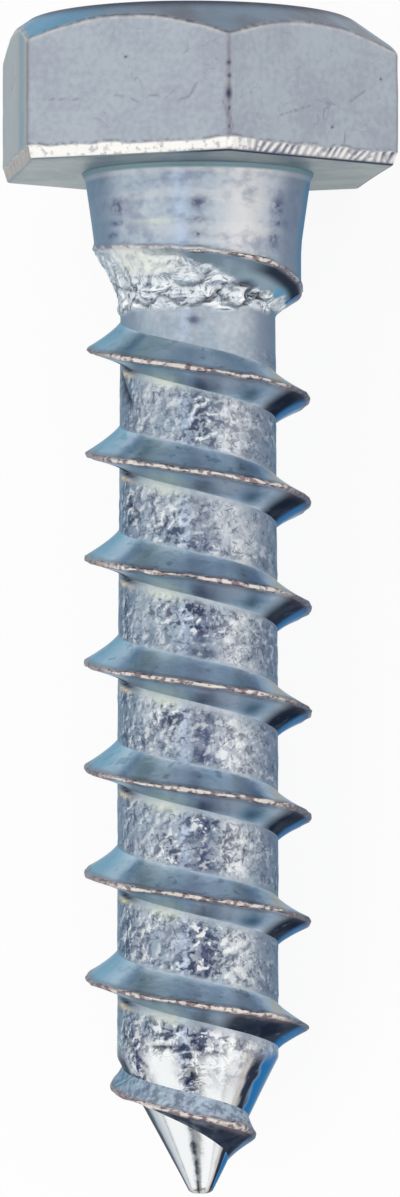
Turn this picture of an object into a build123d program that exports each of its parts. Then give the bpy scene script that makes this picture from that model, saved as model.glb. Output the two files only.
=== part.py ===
from build123d import *
from math import atan2, cos, degrees, radians, tan
import os

os.makedirs("parts", exist_ok=True)

# Hexagon-head wood screw, 8 x 35, forged and rolled from one piece of steel.
# Sizes are in millimetres. While it is being shaped the screw stands on its head: the axis is Z, the
# bearing face under the head is at height 0, the head is below it and the point is up. Heights are
# measured from the bearing face. Last, the screw is laid down as it rests on a table.

# Head
across_flats = 12.75
head_height = 5.3
head_corner_round = 0.3
top_circle_diameter = 11.2
top_chamfer_slope = 36
trimmed_edge_height = 0.5
trimmed_edge_depth = 0.2
under_head_bevel = 0.25

# Shank, between the head and the thread
shank_length = 2.8
shank_head_diameter = 7.8
shank_end_diameter = 7.02
run_out_length = 1.3
run_out_diameter = 5.76
neck_length = 1.1

# Core and point
length_under_head = 35.0
core_start_diameter = 5.4
core_end_diameter = 5.52
point_length = 4.7
tip_diameter = 0.7
tip_bevel = 0.1

# Thread: one ridge, rolled up out of the core
thread_hand = "left"
thread_pitch = 3.6
major_diameter = 7.82
crest_width = 0.26
head_side_flank_angle = 28
point_side_flank_angle = 24
root_overlap = 0.12

# Run-in: the ridge rises out of the shank, widens where the shank runs out, then stands free
thread_start_height = 1.66
thread_start_angle = -111.7
first_crest_height = 2.56
first_crest_diameter = 7.44
run_in_height = 4.36
run_in_diameter = 7.1
run_in_crest_width = 0.85
full_thread_height = 6.16

# Run-off: the ridge follows the point and fades into it
crest_taper_lead = 0.7
last_turn_to_tip = 2.0
last_turn_ridge = 0.6
fade_to_tip = 0.5
fade_crest_width = 0.1

flat_radius = across_flats / 2
point_start_height = length_under_head - point_length

core_line = [
    (0, core_start_diameter / 2),
    (point_start_height, core_end_diameter / 2),
    (length_under_head, tip_diameter / 2),
]
shank_line = [(0, shank_head_diameter / 2), (shank_length, shank_end_diameter / 2)]


def radius_on(line, height):
    # Radius at a height on a line of (height, radius) points, straight between them.
    for (low, low_radius), (high, high_radius) in zip(line, line[1:]):
        if height <= high:
            break
    share = (height - low) / (high - low)
    return low_radius + share * (high_radius - low_radius)


def hexagon(radius_to_flat, height):
    sketch = RegularPolygon(radius=radius_to_flat, major_radius=False, side_count=6)
    return Pos(0, 0, height) * fillet(sketch.vertices(), head_corner_round)


def hexagon_head():
    outline = hexagon(flat_radius, -trimmed_edge_height)
    trimmed_outline = hexagon(flat_radius - trimmed_edge_depth, 0)
    upper = extrude(outline, trimmed_edge_height - head_height)
    lower = loft([outline, trimmed_outline])

    # The cone that chamfers the top of the head: it keeps a round flat and cuts the six corners.
    top_radius = top_circle_diameter / 2
    cone_reach = head_height / tan(radians(top_chamfer_slope))
    cone = Polyline(
        (0, -head_height),
        (top_radius, -head_height),
        (top_radius + cone_reach, 0),
        (0, 0),
        close=True,
    )
    return (upper + lower) & revolve(Plane.XZ * make_face(cone), Axis.Z)


def shank_and_core():
    run_out_height = shank_length + run_out_length
    neck_height = run_out_height + neck_length
    half_profile = Polyline(
        (0, -head_height / 2),
        (shank_head_diameter / 2 + under_head_bevel, -head_height / 2),
        (shank_head_diameter / 2 + under_head_bevel, 0),
        (radius_on(shank_line, under_head_bevel), under_head_bevel),
        (shank_end_diameter / 2, shank_length),
        (run_out_diameter / 2, run_out_height),
        (radius_on(core_line, neck_height), neck_height),
        (core_end_diameter / 2, point_start_height),
        (radius_on(core_line, length_under_head - tip_bevel), length_under_head - tip_bevel),
        (tip_diameter / 2 - tip_bevel, length_under_head),
        (0, length_under_head),
        close=True,
    )
    return revolve(Plane.XZ * make_face(half_profile), Axis.Z)


def flank_root(crest_radius, crest_edge_height, flank_angle):
    # Where a flank that leaves the crest edge comes to lie root_overlap inside the core. A positive
    # angle leans towards the point and a negative one towards the head.
    depth = 0
    for _ in range(8):
        height = crest_edge_height + depth * tan(radians(flank_angle))
        depth = crest_radius - radius_on(core_line, height) + root_overlap
    return height, crest_radius - depth


def ridge_section(height, crest_radius, width):
    # Corners of the ridge as (height, radius): crest edge and root on the head side, then root and
    # crest edge on the point side.
    return [
        (height - width, crest_radius),
        flank_root(crest_radius, height - width, -head_side_flank_angle),
        flank_root(crest_radius, height, point_side_flank_angle),
        (height, crest_radius),
    ]


def strand(start, end, turns, turns_before):
    # A helix from one (height, radius) corner to another, on a cylinder or a cone.
    rise = end[0] - start[0]
    cone_angle = degrees(atan2(end[1] - start[1], rise))
    helix = Edge.make_helix(
        pitch=rise / turns / cos(radians(cone_angle)),
        height=rise,
        radius=start[1],
        center=(0, 0, start[0]),
        angle=cone_angle,
        lefthand=thread_hand == "left",
    )
    turn = -360 if thread_hand == "left" else 360
    return helix.rotate(Axis.Z, turn * turns_before + thread_start_angle)


crest_fades_height = length_under_head - fade_to_tip
last_turn_height = length_under_head - last_turn_to_tip
# Stations of the ridge: height of the crest's edge on the point side, crest radius, crest width.
thread_stations = [
    (thread_start_height, radius_on(shank_line, thread_start_height) - root_overlap, crest_width),
    (first_crest_height, first_crest_diameter / 2, crest_width),
    (run_in_height, run_in_diameter / 2, run_in_crest_width),
    (full_thread_height, major_diameter / 2, crest_width),
    (point_start_height - crest_taper_lead, major_diameter / 2, crest_width),
    (last_turn_height, radius_on(core_line, last_turn_height) + last_turn_ridge, crest_width),
    (crest_fades_height, radius_on(core_line, crest_fades_height) - root_overlap / 2, fade_crest_width),
]


def close_stations():
    # The same stations, filled in to about one a turn, so that the root keeps to the core.
    filled = []
    for start, end in zip(thread_stations, thread_stations[1:]):
        steps = max(1, round((end[0] - start[0]) / thread_pitch))
        for step in range(steps):
            filled.append(tuple(low + (high - low) * step / steps for low, high in zip(start, end)))
    return filled + [thread_stations[-1]]


def thread_ridge():
    faces = []
    stations = close_stations()
    for start, end in zip(stations, stations[1:]):
        turns = (end[0] - start[0]) / thread_pitch
        turns_before = (start[0] - thread_start_height) / thread_pitch
        corners = zip(ridge_section(*start), ridge_section(*end))
        strands = [strand(here, there, turns, turns_before) for here, there in corners]
        if not faces:
            faces.append(Face(Wire.make_polygon([curve @ 0 for curve in strands], close=True)))
        for curve, neighbour in zip(strands, strands[1:] + strands[:1]):
            faces.append(Face.make_surface_from_curves(curve, neighbour))
    faces.append(Face(Wire.make_polygon([curve @ 1 for curve in strands], close=True)))
    return Solid(Shell(faces))


def resting_slope():
    # The screw lies on a flat of its head and on the crest that first meets the table. The flat
    # that faces -Y is the lower one, and the ridge passes under the axis once a turn.
    turn_sign = -1 if thread_hand == "left" else 1
    share_of_turn = (turn_sign * (-90 - thread_start_angle) / 360) % 1
    crest_line = [(height, radius) for height, radius, _ in thread_stations]
    height = thread_start_height + share_of_turn * thread_pitch
    slopes = []
    while height < last_turn_height:
        drop = flat_radius - radius_on(crest_line, height)
        slopes.append(degrees(atan2(drop, height + trimmed_edge_height)))
        height += thread_pitch
    return min(slopes)


screw = hexagon_head() + shank_and_core() + thread_ridge()

# Lay the point towards -Y and let it drop until the thread touches the table, then put the middle
# of the footprint at the origin.
screw = Rot(90 + resting_slope(), 0, 0) * screw
box = screw.bounding_box()
screw = Pos(-box.center().X, -box.center().Y, -box.min.Z) * screw
screw.label = "lag_screw"
export_step(screw, "parts/lag_screw.step")
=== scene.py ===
import math
import bpy
import numpy as np
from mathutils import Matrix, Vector


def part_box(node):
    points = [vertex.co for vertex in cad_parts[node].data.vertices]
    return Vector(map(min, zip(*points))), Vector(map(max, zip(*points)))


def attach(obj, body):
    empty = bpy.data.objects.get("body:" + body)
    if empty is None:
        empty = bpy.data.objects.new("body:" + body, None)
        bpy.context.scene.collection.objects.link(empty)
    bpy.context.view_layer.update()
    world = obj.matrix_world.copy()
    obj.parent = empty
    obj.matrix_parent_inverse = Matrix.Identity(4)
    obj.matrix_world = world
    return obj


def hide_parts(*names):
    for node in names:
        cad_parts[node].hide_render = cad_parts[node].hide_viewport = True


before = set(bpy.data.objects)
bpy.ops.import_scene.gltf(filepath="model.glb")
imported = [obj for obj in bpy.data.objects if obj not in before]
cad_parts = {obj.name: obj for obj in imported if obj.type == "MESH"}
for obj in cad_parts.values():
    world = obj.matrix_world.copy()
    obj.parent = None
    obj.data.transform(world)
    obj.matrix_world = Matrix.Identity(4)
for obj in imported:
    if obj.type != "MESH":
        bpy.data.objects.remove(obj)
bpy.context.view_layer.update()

print("frame loaded")

# Lengths on the screw are in mm from the middle of the bearing face: x to the right,
# y up, h along the axis towards the point. Angles go round from +y towards +x.
lie = {
    "slope": 5.189,         # degrees the axis dips towards the point
    "turnedTo": 21.73,      # angle of the side that looks at the camera
    "touchAt": 0.5,         # the head's flat meets the table this far above its bearing face
}


def smoothStep(low, high, x):
    # 0 below low, 1 above high, t t (3 - 2 t) between
    t = np.clip((x - low) / (high - low), 0.0, 1.0)
    return t * t * (3.0 - 2.0 * t)


def plateau(x, low, lowEnd, high, highEnd):
    # rises from 0 to 1 between low and lowEnd, falls back to 0 between high and highEnd
    return smoothStep(low, lowEnd, x) * (1.0 - smoothStep(high, highEnd, x))


def bell(x, middle, halfWidth):
    # 1 at middle, falling off as exp(-((x - middle) / halfWidth)^2)
    return np.exp(-((x - middle) / halfWidth) ** 2)


def latticeNoise(u, v, cellU, cellV, seed, cellsAround=0):
    # random values on a lattice of cellU x cellV, joined by smooth steps; -1 to 1
    cells = 256
    lattice = np.random.default_rng(seed).uniform(-1.0, 1.0, (cells + 1, cells + 1))
    p = u / cellU
    q = v / cellV + 40.0    # starts well inside the lattice
    i = np.floor(p).astype(int)
    j = np.floor(q).astype(int)
    s = smoothStep(0.0, 1.0, p - i)
    t = smoothStep(0.0, 1.0, q - j)
    period = cellsAround if cellsAround else cells
    i0 = i % period
    i1 = (i + 1) % period
    j0 = j % cells
    j1 = (j + 1) % cells
    low = lattice[i0, j0] * (1.0 - s) + lattice[i1, j0] * s
    high = lattice[i0, j1] * (1.0 - s) + lattice[i1, j1] * s
    return low * (1.0 - t) + high * t


def ringNoise(angle, h, cellsAround, cellH, seed):
    # latticeNoise that closes on itself once round the axis
    return latticeNoise(angle / (2.0 * math.pi) * cellsAround, h, 1.0, cellH, seed, cellsAround)


def roundTo(degrees, near):
    # the same angles, counted so that they lie within half a turn of near
    return np.mod(degrees - near + 180.0, 360.0) - 180.0 + near


def sideAngle(angle):
    # degrees round from the side that looks at the camera, -180 to 180
    return roundTo(np.degrees(angle), lie["turnedTo"]) - lie["turnedTo"]


def nearStroke(u, v, u0, v0, u1, v1, halfWidth):
    # 1 on the line between two points, 0 away from it: exp(-(distance / halfWidth)^2)
    spanU = u1 - u0
    spanV = v1 - v0
    t = np.clip(((u - u0) * spanU + (v - v0) * spanV) / (spanU ** 2 + spanV ** 2), 0.0, 1.0)
    gap = (u - u0 - t * spanU) ** 2 + (v - v0 - t * spanV) ** 2
    return np.exp(-gap / halfWidth ** 2)


def blendAlong(values, passes):
    # rounds the edges of a run of rows: each takes the mean of itself and its neighbours
    for _ in range(passes):
        inner = 0.25 * values[:-2] + 0.5 * values[1:-1] + 0.25 * values[2:]
        values = np.concatenate([values[:1], inner, values[-1:]])
    return values


def layDown(x, y, h):
    # screw lengths in mm to the frame in metres: origin + x X + y up + h axis
    slope = math.radians(lie["slope"])
    low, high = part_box("lag_screw")
    topReach = head["height"] * math.cos(slope) + head["topRadius"] * math.sin(slope)
    rise = head["acrossFlats"] / 2.0 * math.cos(slope) - lie["touchAt"] * math.sin(slope)
    middle = Vector(((low.x + high.x) / 2.0, high.y - topReach / 1000.0, low.z + rise / 1000.0))
    worldX = middle.x + x / 1000.0
    worldY = middle.y - (y * math.sin(slope) + h * math.cos(slope)) / 1000.0
    worldZ = middle.z + (y * math.cos(slope) - h * math.sin(slope)) / 1000.0
    return np.stack(np.broadcast_arrays(worldX, worldY, worldZ), axis=-1)


def addObject(name, data):
    made = bpy.data.objects.new(name, data)
    bpy.context.scene.collection.objects.link(made)
    return made


def closedSkin(name, rings, firstPole, lastPole, marks):
    # rings[row, column] joined in quads, each row closed round, a fan at either pole;
    # marks are values at the points, which the plating reads
    rows, columns = rings.shape[:2]
    points = np.vstack([rings.reshape(-1, 3), firstPole, lastPole])
    row = np.arange(rows - 1)[:, None] * columns
    col = np.arange(columns)[None, :]
    after = (col + 1) % columns
    quads = np.stack([row + col, row + after, row + columns + after, row + columns + col], axis=-1)
    quads = quads.reshape(-1, 4)
    ends = np.arange(columns)
    nextEnds = (ends + 1) % columns
    last = (rows - 1) * columns
    poleA = np.full(columns, rows * columns)
    fanA = np.stack([poleA, nextEnds, ends], axis=-1)
    fanB = np.stack([poleA + 1, last + ends, last + nextEnds], axis=-1)
    # a negative volume means that the faces point inwards
    a, b, c, d = points[quads].transpose(1, 0, 2)
    volume = (a * (np.cross(b, c) + np.cross(c, d))).sum()
    if volume < 0.0:
        quads = quads[:, ::-1]
        fanA = fanA[:, ::-1]
        fanB = fanB[:, ::-1]
    mesh = bpy.data.meshes.new(name)
    mesh.from_pydata(points.tolist(), [], quads.tolist() + fanA.tolist() + fanB.tolist())
    for markName, values in marks.items():
        values = values + np.zeros((rows, columns))
        flat = np.concatenate([values.reshape(-1), [values[0].mean(), values[-1].mean()]])
        layer = mesh.attributes.new(markName, "FLOAT", "POINT")
        layer.data.foreach_set("value", flat.astype(np.float32))
    mesh.shade_smooth()
    mesh.update()
    piece = addObject(name, mesh)
    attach(piece, "root")
    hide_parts("lag_screw")
    print(name, "has", 2 * len(quads) + 2 * columns, "triangles")
    return piece


head = {
    "acrossFlats": 12.75,
    "height": 5.28,
    "cornerRound": 0.3,
    "topRadius": 5.6,
    "topShift": 0.24,       # the forged top circle sits this far off the axis
    "topBevel": 0.15,
    "chamferSlope": 36.0,   # degrees from the top face
    "trimHeight": 0.47,     # bright sheared band above the bearing face
    "trimDepth": 0.16,
    "footBevel": 0.09,
    "shankRing": 3.7,       # rings of the bearing face stop here, under the shank
    "toothPitch": 0.31,     # tool marks of the sheared band, on faces toothedFaces
    "toothLean": 0.5,
    "toothDepth": 0.05,
    "toothedFaces": (1, 2, 4),
    "dents": 0.01,
    "scratchDepth": 0.012,
    "faceWidth": 7.36,      # a nick past cornerFrom goes on round the corner
    "cornerFrom": 3.5,
    "tealFace": 5,          # the face that turns away from the light on the left
    # nicks on an edge or face: face number, along it, height, half width, half height, depth
    "nicks": (
        (0, 3.66, -2.94, 0.08, 0.07, 0.05), (0, 3.68, -2.5, 0.07, 0.07, 0.05),
        (0, 3.66, -1.92, 0.12, 0.19, 0.09), (0, 3.67, -1.42, 0.05, 0.06, 0.04),
        (0, 3.66, -0.8, 0.04, 0.07, 0.04), (0, -0.06, -3.3, 0.05, 0.04, 0.02),
        (1, 0.75, -1.1, 0.06, 0.05, 0.02), (1, 2.9, -2.9, 0.05, 0.05, 0.02),
        (3, 1.2, -2.2, 0.1, 0.07, 0.03), (4, -2.0, -1.6, 0.07, 0.1, 0.03),
    ),
    # scratches: face number, start along and height, end along and height, half width
    "scratches": (
        (0, 1.88, -1.77, 2.25, -1.87, 0.035), (0, 2.25, -1.87, 2.5, -2.31, 0.035),
        (0, 0.8, -1.95, 1.12, -1.97, 0.035), (0, -0.46, -2.02, -0.16, -1.96, 0.035),
        (0, -3.3, -2.03, -1.5, -1.93, 0.02), (1, 1.55, -2.04, 2.2, -2.44, 0.035),
        (0, 3.45, -1.66, 3.66, -1.1, 0.05), (1, -3.62, -1.1, -3.54, -0.81, 0.05),
        (1, -3.54, -0.81, -3.66, -0.53, 0.05),
        (1, 1.25, -0.4, 1.32, -0.96, 0.03), (1, -1.6, -1.3, -0.2, -1.75, 0.02),
        (2, -1.0, -1.0, 0.7, -2.6, 0.03), (2, 1.6, -3.1, 2.2, -2.7, 0.035),
        (3, -2.4, -2.6, -0.9, -2.9, 0.03), (4, 0.2, -1.4, 1.8, -1.1, 0.03),
        (5, -1.0, -2.9, 0.8, -3.2, 0.03),
    ),
    "around": 720,
}


def hexRadius(angle):
    # distance of the rounded hexagon from the axis: a / cos b on a flat, and at a corner
    # the far cut of a circle of cornerRound
    flat = head["acrossFlats"] / 2.0
    rounding = head["cornerRound"]
    sixth = math.pi / 3.0
    fromFlat = np.mod(angle + sixth / 2.0, sixth) - sixth / 2.0
    fromCorner = sixth / 2.0 - np.abs(fromFlat)
    centre = (flat - rounding) / math.cos(sixth / 2.0)
    tangent = math.atan2(rounding * math.sin(sixth / 2.0), centre + rounding * math.cos(sixth / 2.0))
    reach = np.sqrt(np.maximum(rounding ** 2 - (centre * np.sin(fromCorner)) ** 2, 0.0))
    corner = centre * np.cos(fromCorner) + reach
    return np.where(fromCorner < tangent, corner, flat / np.cos(fromFlat))


def runTo(rStart, hStart, rEnd, hEnd, count):
    # count rows on the straight line from start towards end, without the end
    t = (np.arange(count) / count)[:, None]
    return rStart + (rEnd - rStart) * t, hStart + (hEnd - hStart) * t


def makeHead():
    # each meridian runs top middle - top circle - chamfer cone - flat - trimmed band -
    # bearing face; radius from hexRadius(angle), the cone's foot where the two meet
    angle = np.linspace(0.0, 2.0 * math.pi, head["around"], endpoint=False)[None, :]
    zero = 0.0 * angle
    rim = hexRadius(angle)
    sixth = math.pi / 3.0
    face = np.mod(np.floor_divide(angle + sixth / 2.0, sixth), 6)
    fromFlat = np.mod(angle + sixth / 2.0, sixth) - sixth / 2.0
    alongFace = head["acrossFlats"] / 2.0 * np.tan(fromFlat)
    topRadius = head["topRadius"] - head["topShift"] * np.sin(angle)
    chamferFoot = (rim - topRadius) * math.tan(math.radians(head["chamferSlope"])) - head["height"]
    chamferFoot = chamferFoot + 0.02 * ringNoise(angle, zero, 60, 1.0, 2)
    trimTop = -head["trimHeight"] + 0.05 * ringNoise(angle, zero, 90, 1.0, 3)
    trimTop = trimTop + 0.04 * ringNoise(angle, zero, 24, 1.0, 4)
    trimFoot = rim - head["trimDepth"]
    top = zero - head["height"]
    topEdge = topRadius - head["topBevel"]
    footEdge = trimFoot - head["footBevel"]
    shankRing = zero + head["shankRing"]
    pole = zero + 0.05
    runs = [
        runTo(pole, top, topEdge, top, 8),
        runTo(topEdge, top, topRadius, top + 0.02, 3),
        runTo(topRadius, top + 0.02, rim, chamferFoot, 14),
        runTo(rim, chamferFoot, rim, trimTop, 58),
        runTo(rim, trimTop, trimFoot, zero - 0.05, 24),
        runTo(trimFoot, zero - 0.05, footEdge, zero, 4),
        runTo(footEdge, zero, shankRing, zero, 16),
        runTo(shankRing, zero, pole, zero, 5),
    ]
    radius = blendAlong(np.vstack([r for r, h in runs]), 2)
    height = blendAlong(np.vstack([h for r, h in runs]), 2)
    run = np.repeat(np.arange(len(runs)), [len(r) for r, h in runs])[:, None] + zero
    cone, flat, trim, bevel = 2, 3, 4, 5
    onSides = (run >= flat) * (run <= trim)

    inTrim = smoothStep(0.0, 0.08, height - trimTop) * smoothStep(0.02, 0.08, -height) * (run <= bevel)
    toothed = np.isin(face, head["toothedFaces"]) * smoothStep(-3.3, -2.2, alongFace)
    phase = (alongFace + head["toothLean"] * height) / head["toothPitch"]
    phase = phase + 0.45 * ringNoise(angle, height, 60, 0.5, 5)
    tooth = plateau(np.mod(phase, 1.0), 0.0, 0.5, 0.6, 1.0)
    tooth = tooth * (0.75 + 0.5 * ringNoise(angle, height, 70, 0.4, 9))
    wave = 0.5 + 0.5 * ringNoise(angle, height, 130, 0.2, 6)
    radius = radius - head["toothDepth"] * (tooth * toothed + 0.5 * wave * (1.0 - toothed)) * inTrim
    dent = ringNoise(angle, height, 40, 1.1, 7) + 0.5 * ringNoise(angle, height, 90, 0.5, 8)
    radius = radius - head["dents"] * dent * ((run == flat) | (run == cone))

    pit = 0.0 * height
    for number, along, up, halfAlong, halfUp, depth in head["nicks"]:
        bite = bell(alongFace, along, halfAlong) * (face == number)
        if along > head["cornerFrom"]:
            bite = bite + bell(alongFace, along - head["faceWidth"], halfAlong) * (face == number + 1)
        bite = bite * bell(height, up, halfUp) * (run >= cone)
        pit = np.maximum(pit, bite)
        radius = radius - depth * bite
    scratch = 0.0 * height
    for number, along0, up0, along1, up1, halfWidth in head["scratches"]:
        line = nearStroke(alongFace, height, along0, up0, along1, up1, halfWidth)
        line = line * (face == number) * (run == flat)
        scratch = np.maximum(scratch, line)
        radius = radius - head["scratchDepth"] * line
    rings = layDown(radius * np.sin(angle), radius * np.cos(angle), height)

    teal = face == head["tealFace"]
    fromFoot = height - chamferFoot
    fromCorner = (sixth / 2.0 - np.abs(fromFlat)) * 7.3
    onCone = (run >= cone) * (run <= flat) * (1.0 - smoothStep(-0.02, 0.04, fromFoot))
    # painted reflection: the chamfer cone is blue on one side
    blueTurn = 0.5 + 0.5 * np.cos(angle + math.radians(52.0))
    shadedRim = np.where(face == 0, 0.12 + 0.88 * smoothStep(1.2, 3.4, alongFace), 1.0)
    shadedRim = np.where(teal, 0.3, shadedRim)
    marks = {
        # the sheared band is real; its near-white colour is a painted highlight
        "trim": inTrim,
        # painted shade in the gaps between the teeth
        "tooth": tooth * toothed * inTrim,
        "trimLine": bell(height - trimTop, -0.02, 0.04) * onSides,
        "cornerLine": bell(fromCorner, 0.0, 0.07) * onSides * (fromFoot > 0.02),
        "arcLine": bell(fromFoot, -0.03, 0.05) * (run >= cone) * (run <= flat),
        # painted highlight just below the chamfer's foot
        "arcHighlight": bell(fromFoot, 0.07, 0.06) * (run == flat),
        "cone": onCone,
        "coneBlue": smoothStep(0.8, 0.98, blueTurn) * onCone,
        # painted shade: a navy line round the top edge
        "topLine": bell(radius, topRadius, 0.27) * (run <= cone),
        "under": (run >= bevel) * 1.0,
        # painted shade: a navy line under the bevel, where it faces down
        "rim": bell(height, -0.02, 0.07) * (run >= trim) * (run <= bevel) * shadedRim,
        # painted shade in the nicks
        "pit": pit,
        "scratch": scratch,
        # painted shade on the face that turns away from the light
        "tealFace": teal * onSides * (0.78 + 0.22 * bell(alongFace, 3.1, 0.35)),
        "tealStrip": teal * (run == flat) * bell(alongFace, 2.2, 0.9),
        "trimInShade": teal * inTrim,
    }
    topPole = layDown(0.0, 0.0, -head["height"])
    underPole = layDown(0.0, 0.0, 0.0)
    return closedSkin("hexHead", rings, topPole, underPole, marks)


shank = {
    "neckHeights": (-0.8, 0.0, 0.1, 0.22, 0.36, 0.86, 1.68, 2.3, 2.75),
    "neckRadii": (3.6, 4.02, 3.95, 3.89, 3.86, 3.787, 3.67, 3.585, 3.56),
    "lipAngles": (-68.0, 22.0, 65.0, 79.0, 112.0, 190.0, 292.0),
    "lipHeights": (2.56, 2.92, 3.28, 3.53, 4.02, 2.75, 2.56),
    "lipBump": 0.07,
    # under the lip: a smooth wedge, then torn folds down to tornEnd
    "wedgeAngles": (-68.0, 5.0, 22.0, 36.0, 58.0, 78.0, 95.0, 130.0, 292.0),
    "wedgeHeights": (0.04, 0.04, 0.25, 0.64, 0.72, 0.7, 0.45, 0.2, 0.04),
    "runAngles": (-68.0, 5.0, 40.0, 80.0, 112.0, 160.0, 292.0),
    "runLengths": (1.75, 1.65, 1.25, 1.0, 0.9, 1.3, 1.75),
    "tornEnd": 4.85,
    "tornDepth": 0.15,
    "coreFrom": 5.0,        # the core thickens a little down to coreFull
    "coreFull": 20.0,
    "coreAtHead": 2.67,
    "coreAtPoint": 2.76,
    "coreRelief": 0.03,
    "coreWaver": 0.004,
    "pointStart": 30.35,
    "bendFrom": 30.5,
    "pointBend": 0.1,       # the tip stands this far to the side
    "length": 35.0,
    "tipRadius": 0.36,
    "tipRound": 0.1,
    "tipTaper": 0.12,       # over this length before the tip
    "tipTaperShare": 0.12,  # this share comes off the radius
    # rough patches of the point: side angle, half angle, fading from and to height, strength
    "roughPatches": ((-52, 10, 31.0, 31.8, 1.0), (-7, 7, 32.2, 33.0, 1.0), (20, 22, 30.6, 31.8, 0.35)),
    # gouges on the core: half width, depth, then angle and height in turn
    "gouges": (
        (0.2, 0.14, ((-59, 7.0), (-41, 7.95))),
        (0.05, 0.08, ((-39, 11.4), (-27, 11.8))),
        (0.05, 0.08, ((-27, 11.8), (-39, 12.15))),
        (0.06, 0.08, ((150, 14.6), (162, 15.4))),
        (0.05, 0.07, ((-42, 29.6), (-20, 30.6))),
        (0.06, 0.06, ((-12, 29.9), (24, 30.0))),
    ),
    # creases of the torn run-out, given the same way; these and the gouges are painted dark as shade
    "creases": (
        (0.05, 0.07, ((-33, 4.45), (-19, 4.75), (-9, 4.4), (-3, 4.4), (8, 4.7))),
        (0.05, 0.07, ((6, 3.95), (10, 4.1), (18, 4.1), (24, 4.0), (29, 3.65))),
        (0.06, 0.08, ((16, 4.75), (32, 4.5), (37, 4.25), (42, 4.5), (52, 4.8), (65, 4.5), (77, 4.3))),
        (0.11, 0.07, ((48, 4.02), (58, 4.0), (64, 4.1))),
        (0.04, 0.05, ((-64, 3.75), (-47, 4.05), (-35, 4.15))),
        (0.04, 0.05, ((-32, 3.4), (-28, 3.75), (-32, 4.0))),
        (0.05, 0.06, ((110, 4.4), (130, 4.1), (150, 4.5), (175, 4.0), (200, 4.4), (225, 4.2))),
    ),
    "gougeArc": 2.7 * math.pi / 180.0,      # mm round the core in a degree
    "creaseArc": 0.052,                     # and round the run-out
    # dark smears: angle, height, half angle, half height
    "smears": (
        (-27, 1.93, 6, 0.09), (-26, 1.4, 5, 0.3), (21, 1.93, 5, 0.1), (22, 1.35, 5, 0.2),
        (23, 2.4, 4, 0.12), (72, 1.93, 6, 0.09), (69, 1.4, 5, 0.35), (68, 2.5, 4, 0.25),
        (-32, 2.35, 4, 0.12), (19, 5.25, 5, 0.14), (130, 1.2, 8, 0.3), (190, 1.9, 9, 0.15),
        (250, 1.1, 6, 0.4),
    ),
    # rows of points: from height, to height, how many; the last run ends at the tip
    "rows": ((-0.8, 2.3, 40), (2.3, 5.2, 62), (5.2, 31.0, 262)),
    "pointRows": 28,
    "around": 240,
}


def byAngle(angle, angles, values):
    # values at listed angles, joined by straight runs that close behind the screw
    degrees = np.mod(np.degrees(angle) - angles[0], 360.0) + angles[0]
    return np.interp(degrees, angles, values)


def coreRadius(h):
    # straight core, then a cone down to the blunt tip
    core = np.interp(h, (shank["coreFrom"], shank["coreFull"]), (shank["coreAtHead"], shank["coreAtPoint"]))
    start = shank["pointStart"]
    toTip = (h - start) / (shank["length"] - start)
    cone = shank["coreAtPoint"] + (shank["tipRadius"] - shank["coreAtPoint"]) * toTip
    return np.where(h > start, cone, core)


def bentDown(radius, angle, height):
    # ring points laid down, with the tip pushed to the right of the lit side
    side = math.radians(lie["turnedTo"])
    push = shank["pointBend"] * smoothStep(shank["bendFrom"], shank["length"], height)
    x = radius * np.sin(angle) + push * math.cos(side)
    y = radius * np.cos(angle) - push * math.sin(side)
    return layDown(x, y, height)


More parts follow.
